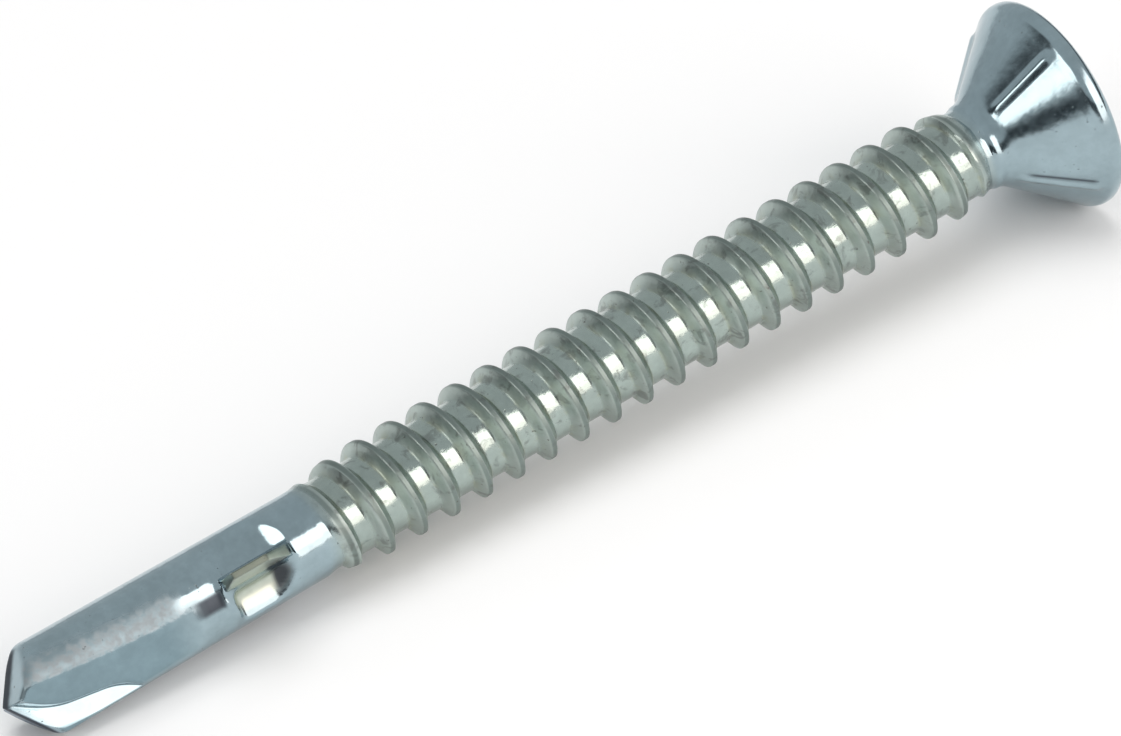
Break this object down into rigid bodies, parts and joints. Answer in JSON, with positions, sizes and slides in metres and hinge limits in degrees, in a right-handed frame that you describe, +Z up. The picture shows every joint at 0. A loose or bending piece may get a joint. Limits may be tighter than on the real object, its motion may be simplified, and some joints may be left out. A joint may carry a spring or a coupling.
{
  "type": "wing-tip self drilling screw",
  "caption": "Zinc-plated self drilling screw with reaming wings, a ribbed countersunk head and a cross recess; fastens timber or board to steel.",
  "frame": {"origin": "centre of the footprint on the surface that the screw lies on", "axes": "+X along the screw towards its head, +Z up as the screw lies at rest; the screw's own axis rises 3.04 degrees towards the head"},
  "size_m": [0.0592, 0.0106, 0.0106],
  "materials": {
    "zinc_plated_steel": "bright zinc plating"
  },
  "bodies": {
    "root": {"screw": "zinc_plated_steel"}
  },
  "joints": []
}
